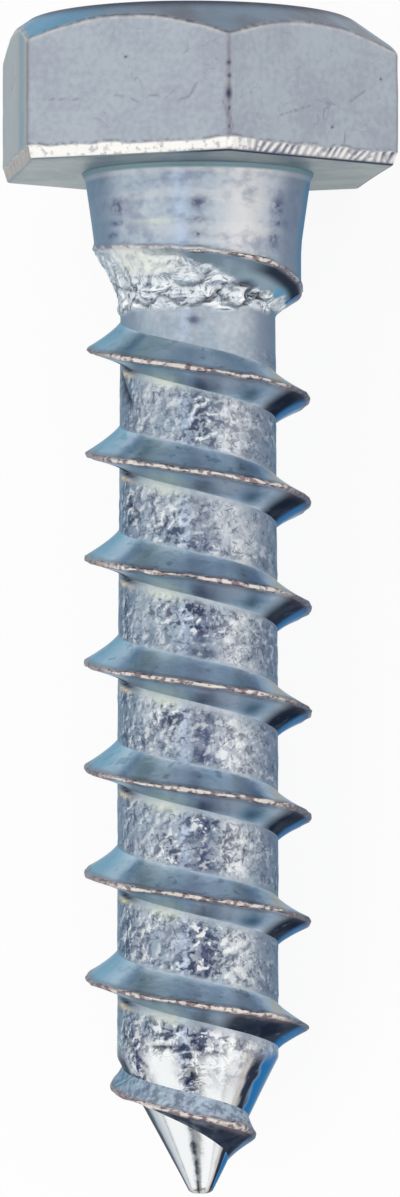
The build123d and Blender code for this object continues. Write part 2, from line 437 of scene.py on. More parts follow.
def makeShank():
    # radius(angle, h): neck down to the lip, torn cone, core with low relief, point
    angle = np.linspace(0.0, 2.0 * math.pi, shank["around"], endpoint=False)[None, :]
    zero = 0.0 * angle
    tipEdge = shank["length"] - shank["tipRound"]
    rows = [np.linspace(start, end, count, endpoint=False) for start, end, count in shank["rows"]]
    rows.append(np.linspace(shank["rows"][-1][1], tipEdge, shank["pointRows"]))
    height = np.concatenate(rows)[:, None] + zero
    degrees = roundTo(np.degrees(angle), 0.0)
    side = sideAngle(angle)

    # neck, lip, wedge and the straight fall to the core
    lip = byAngle(angle, shank["lipAngles"], shank["lipHeights"]) + 0.03 * ringNoise(angle, zero, 50, 1.0, 10)
    wedge = byAngle(angle, shank["wedgeAngles"], shank["wedgeHeights"])
    wedge = wedge * (1.0 + 0.25 * ringNoise(angle, zero, 36, 1.0, 16))
    below = height - lip
    neck = np.interp(height, shank["neckHeights"], shank["neckRadii"])
    core = coreRadius(height)
    fall = np.clip(below / byAngle(angle, shank["runAngles"], shank["runLengths"]), 0.0, 1.0)
    radius = np.where(below > 0.0, core + (neck - core) * (1.0 - fall) ** 1.3, neck)
    radius = radius + shank["lipBump"] * bell(below, 0.0, 0.12)

    # torn folds, calmer under the pale flap
    tornEnd = shank["tornEnd"] + 0.12 * ringNoise(angle, zero, 30, 1.0, 17)
    torn = smoothStep(0.0, 0.12, below - wedge) * (1.0 - smoothStep(-0.15, 0.05, height - tornEnd))
    warp = 0.06 * ringNoise(angle, height, 18, 0.6, 18)
    folds = 1.0 - np.abs(ringNoise(angle + warp, height + 2.0 * warp, 34, 0.42, 11)) * 2.2
    flakes = 1.0 - np.abs(ringNoise(angle - warp, height, 64, 0.24, 12)) * 2.0
    flap = plateau(below, 0.0, 0.06, 0.75, 1.0) * plateau(degrees, -50.0, -25.0, 0.0, 18.0)
    lump = (0.6 * np.maximum(folds, -0.6) + 0.35 * flakes) * (1.0 - 0.75 * flap)
    crumpled = torn * smoothStep(0.3, 0.75, below / (tornEnd - lip)) * (1.0 - 0.7 * flap)
    radius = radius + shank["tornDepth"] * torn * (lump - 0.1)

    # crackle on the bare core, fromCrest counting turns down from the crest of the thread
    turn = (np.degrees(angle) - thread["leftAngle"]) / 360.0
    fromCrest = np.mod((height - thread["crestAtLeft"]) / thread["pitch"] - turn, 1.0)
    onCore = plateau(height, 5.9, 6.9, 29.9, 30.6)
    bare = plateau(fromCrest, 0.17, 0.25, 0.70, 0.745) * onCore
    patch = smoothStep(-0.5, 0.3, ringNoise(angle, height, 14, 1.1, 19))
    lit = bell(side, -8.0, 22.0 + 12.0 * smoothStep(12.0, 20.0, height)) + 0.5 * bell(side, -62.0, 9.0)
    lit = lit + 0.6 * smoothStep(85.0, 110.0, np.abs(side))
    crackled = bare * (0.45 + 0.55 * patch) * (0.4 + 0.6 * np.clip(lit, 0.0, 1.0))
    crackle = ringNoise(angle, height, 56, 0.3, 13) + 0.7 * ringNoise(angle, height, 110, 0.17, 14)
    radius = radius + shank["coreRelief"] * crackled * crackle
    radius = radius - shank["coreWaver"] * (1.0 - torn) * ringNoise(angle, height, 30, 0.8, 15)
    roughPoint = 0.5 * smoothStep(90.0, 120.0, np.abs(side)) * (1.0 - smoothStep(30.5, 32.0, height))
    for at, halfAngle, fadeFrom, fadeTo, strength in shank["roughPatches"]:
        fading = 1.0 - smoothStep(fadeFrom, fadeTo, height)
        roughPoint = roughPoint + strength * bell(side, at, halfAngle) * fading
    roughPoint = smoothStep(29.0, 29.8, height) * np.clip(roughPoint, 0.0, 1.0)

    # gouges, creases and smears
    gouge = 0.0 * height
    for arc, cuts in ((shank["gougeArc"], shank["gouges"]), (shank["creaseArc"], shank["creases"])):
        for halfWidth, depth, track in cuts:
            cut = 0.0 * height
            for (angle0, up0), (angle1, up1) in zip(track[:-1], track[1:]):
                here = roundTo(degrees, angle0) * arc
                stroke = nearStroke(here, height, angle0 * arc, up0, angle1 * arc, up1, halfWidth)
                cut = np.maximum(cut, stroke)
            gouge = np.maximum(gouge, cut)
            radius = radius - depth * cut
    smear = 0.0 * height
    for at, up, halfAngle, halfUp in shank["smears"]:
        spot = bell(roundTo(degrees, at), at, halfAngle) * bell(height, up, halfUp)
        smear = np.maximum(smear, spot)

    # the blunt tip, closed by three more rings
    toTip = (height - (shank["length"] - shank["tipTaper"])) / shank["tipTaper"]
    radius = radius * (1.0 - shank["tipTaperShare"] * np.clip(toTip, 0.0, 1.0) ** 2)
    capRows = np.array([0.9, 0.6, 0.25])[:, None]
    capRadius = radius[-1:] * np.sqrt(capRows)
    capHeight = shank["length"] - shank["tipRound"] * capRows ** 2 + zero
    rings = np.concatenate([bentDown(radius, angle, height), bentDown(capRadius, angle, capHeight)])

    later = 0.35 + 0.65 * smoothStep(8.0, 22.0, height)
    point = smoothStep(29.2, 30.3, height + 0.25 * ringNoise(angle, height, 24, 0.7, 20))
    onPoint = point * smoothStep(29.6, 30.6, height)
    wavy = side + 2.5 * ringNoise(angle, height, 60, 0.3, 28)
    gapReflectionWidth = 2.5 + 5.0 * smoothStep(32.5, 34.5, height)
    marks = {
        # painted light that runs the length of the screw: warm and cool highlights, shade on both sides, a
        # blue reflection on the right rim
        "warmHighlight": bell(side, 26.0, 14.0),
        "coolHighlight": bell(side, -9.0, 5.0),
        "sideShade": plateau(side, 38.0, 58.0, 95.0, 130.0),
        "blueReflection": plateau(side, 68.0, 84.0, 90.0, 112.0),
        "leftShade": plateau(-side, 36.0, 62.0, 95.0, 140.0),
        # neck
        "neck": 1.0 - smoothStep(-0.04, 0.04, below),
        # painted shade where the neck meets the bearing face
        "fillet": 1.0 - smoothStep(0.14, 0.2, height),
        # painted highlight: a bright line on the fillet
        "filletLine": bell(height, 0.25, 0.06),
        "lipLine": bell(below, 0.0, 0.05),
        "paleRow": bell(side, -24.0, 12.0) * bell(height, 1.93, 0.09),
        "smear": smear,
        # run-out
        "wedge": plateau(below, 0.0, 0.1, wedge, wedge + 0.1) * smoothStep(0.1, 0.3, wedge),
        # painted shade on the wedge's right, and a painted blue reflection below it
        "wedgeDark": smoothStep(22.0, 50.0, side) * (1.0 - smoothStep(0.24, 0.52, below)),
        "wedgeBlue": smoothStep(58.0, 66.0, side) * smoothStep(0.3, 0.5, below),
        "torn": torn,
        "flap": flap,
        "crumpled": crumpled,
        "gouge": gouge,
        # core
        "crackled": crackled,
        "bareCore": bare,
        "paleBand": bell(side, -24.0, 17.0) * bell(fromCrest, 0.2, 0.05) * onCore,
        # painted highlight: a golden spot at the root corner
        "cornerHighlight": bell(side, -68.0, 11.0) * bell(fromCrest, 0.2, 0.02) * onCore,
        # painted shade: a black spot in the root corner
        "corner": bell(side, -62.0, 12.0) * bell(fromCrest, 0.145, 0.026) * onCore,
        # painted reflection: dark down the middle of the core, the gap between the lamps
        "darkCentreReflection": bell(side, 4.0, 9.0) * bare * later,
        "litLine": bell(side, 27.0, 9.0) * bare * (0.5 + 0.5 * later),
        # point
        "point": point,
        "roughPoint": roughPoint,
        "tipLine": bell(height, shank["length"] - 0.14, 0.05),
        # painted reflection: a dark band along the right of the point
        "darkReflectionBand": plateau(wavy, 38.0, 44.0, 52.0, 57.0) * onPoint,
        "brownLine": bell(wavy, 37.0, 3.0) * onPoint,
        # painted reflection: a blue rim on the right of the point
        "blueRim": plateau(wavy, 52.0, 57.0, 90.0, 112.0) * onPoint,
        # painted shade: the point's left rim is near black
        "leftRim": plateau(-wavy, 58.0, 70.0, 95.0, 130.0) * onPoint,
        # painted reflection: a dark line down the middle of the point, the gap between the lamps mirrored
        "gapReflection": bell(wavy, -10.0, gapReflectionWidth) * smoothStep(30.8, 31.6, height),
    }
    for name, values in marks.items():
        values = values + 0.0 * height
        marks[name] = np.vstack([values, np.repeat(values[-1:], len(capRows), axis=0)])
    first = layDown(0.0, 0.0, shank["rows"][0][0])
    last = bentDown(0.0, 0.0, np.float64(shank["length"]))
    return closedSkin("shankAndCore", rings, first, last, marks)


thread = {
    "pitch": 3.6,
    "crestAtLeft": 6.03,    # height of the first full crest, at angle leftAngle
    "leftAngle": -68.27,
    # crest radius at each of these turns, and how far the crest is shifted along the axis
    "turns": (
        -0.86, -0.8, -0.7, -0.5, -0.25, 0.0, 1.0, 2.0, 4.0,
        5.0, 6.0, 6.5, 7.0, 7.5, 7.66, 7.8, 7.9, 7.95,
    ),
    "radii": (
        3.3, 3.5, 3.66, 3.6, 3.72, 3.83, 3.89, 3.92, 3.93,
        3.89, 3.85, 3.83, 3.0, 1.92, 1.42, 0.9, 0.5, 0.35,
    ),
    "shiftTurns": (
        -0.86, -0.75, -0.63, -0.59, -0.5, -0.35, 0.0, 0.12,
        0.25, 0.38, 0.5, 6.8, 7.0, 7.25, 7.5, 7.95,
    ),
    "shifts": (
        -0.05, -0.36, -0.47, -0.37, -0.14, 0.0, 0.0, 0.09,
        0.13, 0.09, 0.0, 0.0, 0.14, 0.25, 0.1, 0.1,
    ),
    "headSideBase": 0.86,   # width of each flank where it meets the core
    "headSideSwing": 0.07,  # more on the left of each turn, less on the right
    "pointSideBase": 0.56,
    "pointSideSwing": -0.16,
    "headSideCurve": 1.35,  # 1 is a straight flank, more is more hollow
    "pointSideCurve": 1.4,
    "crestWidth": 0.12,
    "waver": 0.032,         # unevenness of the rolled crest, outwards
    "sideways": 0.03,       # and along the axis
    "ripple": 0.004,
    "lean": 0.045,          # how far the crest dips on the right of each turn
    "fadeFrom": 7.5,        # the crest dies away over the first runIn and after this turn
    "runIn": 0.08,
    "meanRadius": 3.8,
    "sunk": 0.03,           # the flanks end this deep in the core
    "fullRise": 1.15,
    "along": 1800,
}


def makeThread():
    # a ridge profile carried along the left-hand helix: crest at (radius, height) of each
    # turn, each hollow flank core + (crest - core)(1 - q)^curve over its base width
    start, end = thread["turns"][0], thread["turns"][-1]
    turn = np.linspace(start, end, thread["along"])[:, None]
    flat = 0.0 * turn
    angle = np.radians(thread["leftAngle"]) + turn * 2.0 * math.pi
    swing = np.cos(2.0 * math.pi * turn)
    crestRadius = blendAlong(np.interp(turn, thread["turns"], thread["radii"]), 60)
    crestHeight = thread["crestAtLeft"] + thread["pitch"] * turn
    crestHeight = crestHeight + np.interp(turn, thread["shiftTurns"], thread["shifts"])
    crestHeight = blendAlong(crestHeight - thread["lean"] * (1.0 - swing), 60)
    fade = plateau(turn, start, start + thread["runIn"], thread["fadeFrom"], end)
    alongMm = turn * 2.0 * math.pi * thread["meanRadius"]
    wavy = latticeNoise(alongMm, flat, 0.45, 1.0, 21) + 0.7 * latticeNoise(alongMm, flat, 0.22, 1.0, 22)
    slow = latticeNoise(alongMm, flat, 2.4, 1.0, 23)
    outward = thread["waver"] * fade * (0.5 * wavy + 0.4 * slow)
    sideways = thread["sideways"] * fade * latticeNoise(alongMm, flat, 0.5, 1.0, 24)
    widening = 0.5 * latticeNoise(alongMm, flat, 0.6, 1.0, 27)
    half = thread["crestWidth"] / 2.0 * (0.35 + 0.65 * fade)

    # q runs 1 at the head-side root, 0 at the crest, 1 at the point-side root
    headSide = np.linspace(1.0, 0.0, 20, endpoint=False)[None, :] ** 1.3
    crestArc = np.linspace(-1.0, 1.0, 9)[None, :]
    pointSide = np.linspace(0.0, 1.0, 19)[None, 1:] ** (1.0 / 1.3)
    rise = np.maximum(crestRadius - coreRadius(crestHeight) + thread["sunk"], 0.02)
    share = np.clip(rise / thread["fullRise"], 0.03, 1.2) ** 0.6
    headBase = (thread["headSideBase"] + thread["headSideSwing"] * swing) * share
    headBase = headBase * np.interp(turn, (6.7, 7.0, 7.25, 7.5), (1.0, 0.8, 1.15, 1.1))
    pointBase = (thread["pointSideBase"] + thread["pointSideSwing"] * swing) * share
    pointBase = pointBase * (1.0 + 1.1 * smoothStep(7.15, 7.45, turn))
    headRoot = coreRadius(crestHeight - half - headBase) - thread["sunk"]
    headRoot = np.minimum(headRoot, crestRadius - 0.02)
    pointRoot = coreRadius(crestHeight + half + pointBase) - thread["sunk"]
    pointRoot = np.minimum(pointRoot, crestRadius - 0.02)

    # unevenness dies away from the crest, so the roots stay straight
    headNear = (1.0 - headSide) ** 3
    pointNear = (1.0 - pointSide) ** 3
    bow = crestArc * math.pi / 2.0
    height = np.hstack([
        crestHeight - half - headBase * headSide + (sideways - half * widening) * headNear,
        crestHeight + sideways + half * (1.0 + widening) * np.sin(bow),
        crestHeight + half + pointBase * pointSide + (sideways + half * widening) * pointNear,
    ])
    edge = half * 0.6
    shoulder = crestRadius - edge
    headFlank = (shoulder - headRoot) * (1.0 - headSide) ** thread["headSideCurve"]
    pointFlank = (shoulder - pointRoot) * (1.0 - pointSide) ** thread["pointSideCurve"]
    radius = np.hstack([
        headRoot + headFlank + outward * headNear,
        crestRadius - edge * (1.0 - np.cos(bow)) + outward,
        pointRoot + pointFlank + outward * pointNear,
    ])
    across = np.hstack([-headSide, 0.0 * crestArc, pointSide]) + flat
    ripple = latticeNoise(alongMm + 0.0 * radius, across, 2.2, 0.16, 25)
    ripple = ripple + 0.5 * latticeNoise(alongMm + 0.0 * radius, across, 0.5, 0.3, 26)
    radius = radius + thread["ripple"] * ripple * np.sin(np.pi * np.abs(across)) * fade

    # close the loop under the core's skin
    under = np.linspace(1.0, 0.0, 8)[None, 1:-1]
    underHeight = height[:, :1] + (height[:, -1:] - height[:, :1]) * under
    lowest = np.minimum(radius[:, :1], radius[:, -1:])
    underRadius = np.maximum(lowest * 0.9 - 0.1, 0.05) + 0.0 * underHeight
    height = np.hstack([height, underHeight])
    radius = np.hstack([radius, underRadius])
    across = np.hstack([across, 0.0 * underHeight])
    rings = bentDown(radius, angle, height)

    hidden = 0.0 * under
    fromCrestUp = headSide * thread["headSideBase"]
    fromCrestDown = pointSide * thread["pointSideBase"]
    onCrest = [bell(fromCrestUp, 0.0, 0.05), 1.0 + 0.0 * bow, bell(fromCrestDown, 0.0, 0.04), hidden]
    outline = [bell(fromCrestUp, 0.07, 0.045), 0.0 * bow, bell(fromCrestDown, 0.06, 0.04), hidden]
    pointMark = np.hstack([0.0 * headSide, 0.5 + 0.5 * crestArc, 1.0 + 0.0 * pointSide, hidden])
    headMark = 1.0 - pointMark
    side = sideAngle(angle)
    late = smoothStep(5.8, 6.1, turn)
    darkShadeFrom = 44.0 - 38.0 * late
    blueFrom = 76.0 - 10.0 * late
    marks = {
        "crest": np.hstack(onCrest) * fade,
        "crestOutline": np.hstack(outline) * fade,
        # the crest's bright flecks, partly wear and partly painted highlight, fade on the sides
        "crestSideFade": smoothStep(42.0, 62.0, np.abs(side)),
        "tipShade": plateau(side, 48.0, 64.0, 84.0, 96.0),
        "lastTurn": smoothStep(6.75, 7.05, turn),
        # the flank that looks at the head
        "flankShade": headMark * bell(side, -44.0, 6.0),
        "flankGreen": headMark * bell(side, -33.0, 8.0),
        "tealTip": headMark * bell(side, -80.0, 26.0),
        "tanTip": headMark * bell(side + 22.0 * across, 47.0, 6.0),
        # the flank that looks at the point
        "pointSide": pointMark,
        "pale": pointMark * np.abs(across) * bell(side, -30.0, 22.0),
        "rootBlend": pointMark * smoothStep(0.4, 0.95, across) * (1.0 - smoothStep(8.0, 28.0, side)),
        # painted shade in the root corner
        "rootCorner": pointMark * smoothStep(0.22, 0.5, across) * bell(side, -64.0, 12.0),
        # painted reflection: a dark spot in the middle of the lower flank
        "navySpot": pointMark * smoothStep(0.2, 0.45, across) * bell(side, 3.0, 6.0),
        "lozenge": pointMark * bell(side, 37.0, 7.0) * bell(across, 0.6, 0.3),
        "midLight": pointMark * plateau(side, -8.0, 6.0, 20.0, 32.0) * (1.0 - late),
        # painted shade on the lower flank's right side, which turns away from the light
        "darkShade": pointMark * plateau(side, darkShadeFrom, darkShadeFrom + 18.0, 84.0, 96.0),
        # painted reflection: blue on the lower flank's right rim
        "tipBlue": pointMark * plateau(side, blueFrom, blueFrom + 10.0, 90.0, 112.0),
        "firstTurn": pointMark * (1.0 - smoothStep(-0.45, -0.3, turn)),
    }
    return closedSkin("woodThread", rings, rings[0].mean(axis=0), rings[-1].mean(axis=0), marks)


class Wire:
    # a socket of a node tree that can be added, taken away and multiplied
    def __init__(self, paint, socket):
        self.paint = paint
        self.socket = socket

    def maths(self, operation, *numbers):
        return self.paint.node("Math", {"operation": operation}, dict(enumerate(numbers)))[0]

    def __add__(self, other):
        return self.maths("ADD", self, other)

    def __radd__(self, other):
        return self.maths("ADD", other, self)

    def __sub__(self, other):
        return self.maths("SUBTRACT", self, other)

    def __rsub__(self, other):
        return self.maths("SUBTRACT", other, self)

    def __mul__(self, other):
        return self.maths("MULTIPLY", self, other)

    def __rmul__(self, other):
        return self.maths("MULTIPLY", other, self)

    def size(self):
        return self.maths("ABSOLUTE", self)

    def atLeast(self, other):
        return self.maths("MAXIMUM", self, other)


class Paint:
    # one material or world, and the ways to add nodes to it
    def __init__(self, holder):
        holder.use_nodes = True
        self.tree = holder.node_tree
        self.tree.nodes.clear()

    def node(self, kind, settings=None, values=None):
        made = self.tree.nodes.new("ShaderNode" + kind)
        for key, value in (settings or {}).items():
            setattr(made, key, value)
        for key, value in (values or {}).items():
            socket = made.inputs[key]
            if isinstance(value, Wire):
                self.tree.links.new(value.socket, socket)
            else:
                socket.default_value = value
        return [Wire(self, out) for out in made.outputs]

    def mark(self, name):
        return self.node("Attribute", {"attribute_name": name})[2]

    def place(self, stretch, offset):
        # millimetres along the screw's own axes: x, along, up
        coords = self.node("TexCoord")[3]
        turned = self.node("Mapping", {"vector_type": "POINT"}, {
            "Vector": coords,
            "Rotation": (math.radians(-lie["slope"]), 0.0, 0.0),
            "Scale": (1000.0, 1000.0, 1000.0),
        })[0]
        return self.node("VectorMath", {"operation": "MULTIPLY_ADD"}, {
            0: turned, 1: stretch, 2: offset,
        })[0]

    def noise(self, scale, detail, stretch=(1.0, 1.0, 1.0), distortion=0.0, offset=(0.0, 0.0, 0.0)):
        return self.node("TexNoise", {"noise_dimensions": "3D"}, {
            "Vector": self.place(stretch, offset),
            "Scale": scale,
            "Detail": detail,
            "Distortion": distortion,
        })[0]

    def slope(self, scale, detail, distortion=0.0):
        # a noise less itself a little to the lower right: above 0 faces the light
        here = self.noise(scale, detail, distortion=distortion)
        return here - self.noise(scale, detail, distortion=distortion, offset=(0.07, -0.05, 0.05))

    def hairs(self, lines, width, patches):
        # thin lines where a noise passes through its middle, only where the patches show
        gap = (lines * 2.0 - 1.0).size()
        return (1.0 - self.step(gap, 0.0, width)) * patches

    def step(self, value, low, high):
        # 0 below low, 1 above high, smooth between
        return self.node("MapRange", {"interpolation_type": "SMOOTHSTEP"}, {
            "Value": value, "From Min": low, "From Max": high, "To Min": 0.0, "To Max": 1.0,
        })[0]

    def spots(self, scale, detail, low, high, stretch=(1.0, 1.0, 1.0), distortion=0.0):
        # a noise sharpened to spots: 0 where it is below low, 1 above high
        return self.step(self.noise(scale, detail, stretch, distortion), low, high)

    def blend(self, factor, first, second):
        # between two colours, each the name of a tint or a wire
        first = tint[first] if isinstance(first, str) else first
        second = tint[second] if isinstance(second, str) else second
        return self.node("Mix", {"data_type": "RGBA"}, {0: factor, 6: first, 7: second})[2]

    def layers(self, colour, *rows):
        # tints laid over a colour in turn: where (a mark's name or a wire), how strongly, tint
        for where, share, over in rows:
            mask = self.mark(where) if isinstance(where, str) else where
            colour = self.blend(mask * share, colour, over)
        return colour

    def bump(self, height, distance, strength):
        return self.node("Bump", None, {
            "Height": height, "Distance": distance / 1000.0, "Strength": strength,
        })[0]

    def metal(self, colour, roughness, normal, edge=(1.0, 1.0, 1.0, 1.0), bare=1.0):
        shader = self.node("BsdfPrincipled", None, {
            "Base Color": colour, "Roughness": roughness, "Metallic": bare,
            "Specular IOR Level": 0.0, "Normal": normal,
            "Specular Tint": edge,
        })[0]
        self.node("OutputMaterial", None, {"Surface": shader})


def rgb(red, green, blue):
    # a colour given 0 to 255 as seen, made linear for the shader
    def linear(c):
        c = c / 255.0
        return c / 12.92 if c <= 0.04045 else ((c + 0.055) / 1.055) ** 2.4
    return (linear(red), linear(green), linear(blue), 1.0)


tint = {
    "face": rgb(175, 183, 192),
    "faceDark": rgb(161, 168, 180),
    "faceTeal": rgb(132, 148, 153),
    "stripTeal": rgb(88, 128, 148),
    "trimInShade": rgb(112, 108, 108),
    "pit": rgb(34, 42, 84),
    "scratch": rgb(118, 116, 132),
    "trim": rgb(246, 244, 238),
    "midLight": rgb(214, 219, 228),
    "trimGrain": rgb(198, 198, 202),
    "trimDark": rgb(92, 94, 124),
    "edge": rgb(118, 106, 112),
    # painted highlight on edges
    "edgeHighlight": rgb(214, 209, 204),
    "coneBlue": rgb(80, 146, 182),
    "coneGrey": rgb(122, 140, 158),
    "coneDark": rgb(112, 120, 134),
    "navy": rgb(30, 42, 74),
    "under": rgb(162, 172, 172),
    "underTeal": rgb(118, 142, 150),
    "neck": rgb(180, 192, 204),
    "neckDark": rgb(120, 132, 156),
    # dark smears, and also the tint of the painted dark reflections down the middle
    "smear": rgb(72, 80, 116),
    "paleGreen": rgb(214, 222, 206),
    "goldHighlight": rgb(244, 220, 166),
    # painted highlight, also the faint rings on the neck
    "warm": rgb(226, 223, 222),
    # painted highlight
    "cool": rgb(196, 214, 240),
    "dim": rgb(128, 140, 160),
    # painted shade
    "left": rgb(112, 134, 156),
    "core": rgb(181, 190, 199),
    "coreCloud": rgb(160, 175, 187),
    "coreDark": rgb(54, 64, 90),
    # painted highlight
    "coreHighlight": rgb(250, 250, 248),
    "torn": rgb(222, 229, 234),
    "wedge": rgb(146, 166, 180),
    # painted reflection
    "wedgeBlue": rgb(96, 166, 200),
    "flap": rgb(230, 232, 224),
    "flapDark": rgb(176, 186, 190),
    "tornDark": rgb(46, 54, 74),
    "point": rgb(238, 240, 240),
    "flank": rgb(204, 219, 234),
    "flankDeep": rgb(182, 202, 218),
    "flankTeal": rgb(116, 172, 196),
    "flankShade": rgb(112, 138, 166),
    "flankGreen": rgb(150, 176, 172),
    "lozenge": rgb(92, 128, 148),
    # painted shade: near black, for painted shade and dark painted reflections
    "darkShade": rgb(26, 34, 52),
    "crest": rgb(224, 214, 207),
    "crestBrown": rgb(138, 122, 126),
    "tipBrown": rgb(150, 118, 98),
    "tan": rgb(214, 196, 160),
    # painted reflection
    "blue": rgb(72, 138, 178),
    # a painted blue reflection
    "blueRim": rgb(6, 112, 176),
    "grazing": rgb(196, 215, 228),
}


def newPlating(piece, name):
    material = bpy.data.materials.new(name)
    piece.data.materials.append(material)
    return Paint(material)


def tintSides(paint, colour, share, warmShare):
    # the painted light that runs the length of the screw, laid over a colour: shade on the left and right
    # sides, a cool and a warm painted highlight, a painted blue reflection on the right rim
    return paint.layers(
        colour,
        ("leftShade", 0.8 * share, "left"),
        ("coolHighlight", 0.6 * share, "cool"),
        ("warmHighlight", warmShare, "warm"),
        ("sideShade", 0.9 * share, "dim"),
        ("blueReflection", share, "blue"),
    )


def headPlating(piece):
    # mottled grey faces, then cone, edge lines, trimmed band and underside, marks on top
    paint = newPlating(piece, "platedHeadFaces")
    cloud = paint.noise(0.5, 3.0)
    grain = paint.noise(4.5, 2.0)
    mottle = paint.step(cloud * 0.5 + grain * 0.5, 0.36, 0.64)
    hairPatches = paint.spots(1.2, 1.0, 0.54, 0.62, stretch=(1.3, 1.0, 0.9))
    hair = paint.hairs(paint.noise(0.9, 2.0, distortion=0.6), 0.012, hairPatches)
    dots = paint.spots(3.6, 2.0, 0.42, 0.58)
    cornerDots = paint.spots(1.6, 3.0, 0.42, 0.6, distortion=0.5)
    coneTint = paint.blend(paint.spots(0.5, 2.0, 0.4, 0.65), "coneGrey", "coneDark")
    # painted blue reflection on one side of the chamfer
    coneTint = paint.blend(paint.mark("coneBlue"), coneTint, "coneBlue")
    trim = paint.mark("trim")
    trimTint = paint.blend(paint.spots(4.2, 2.0, 0.5, 0.66), "trim", "trimGrain")
    underCloud = paint.spots(0.9, 2.0, 0.3, 0.7) * 0.6 + 0.4
    colour = paint.layers(
        paint.blend(mottle, "faceDark", "face"),
        (hair, 0.4, "scratch"),
        # painted shade on the face that turns away from the light
        ("tealFace", 1.0, "faceTeal"),
        ("tealStrip", 0.85, "stripTeal"),
        ("cone", 1.0, coneTint),
        # painted shade along the top edge
        ("topLine", 1.0, "navy"),
        # painted highlights: on the arcs, dots on the edge lines, the pale side of the corner lines
        ("arcHighlight", 0.25 + 0.35 * dots, "edgeHighlight"),
        ("arcLine", 0.6, paint.blend(dots * 0.5, "edge", "edgeHighlight")),
        ("cornerLine", 0.5 + 0.4 * cornerDots, paint.blend(cornerDots * 0.15, "edge", "edgeHighlight")),
        # painted highlight: the sheared band near white
        (trim, 1.0, trimTint),
        ("trimLine", dots * 0.6, "edge"),
        # painted shade between the teeth
        ("tooth", 0.85, "trimDark"),
        # painted shade: the sheared band on that face stays dull
        ("trimInShade", 0.85, "trimInShade"),
        ("under", 1.0, paint.blend(underCloud, "underTeal", "under")),
        # painted shade under the bevel
        ("rim", 0.95, "navy"),
        ("scratch", 0.55, "scratch"),
        # painted shade in the nicks
        ("pit", 0.95, "pit"),
    )
    roughness = 0.36 + 0.12 * grain - 0.1 * trim
    height = 0.8 * cloud + 0.5 * grain - 0.25 * hair
    paint.metal(colour, roughness, paint.bump(height, 0.03, 0.7))


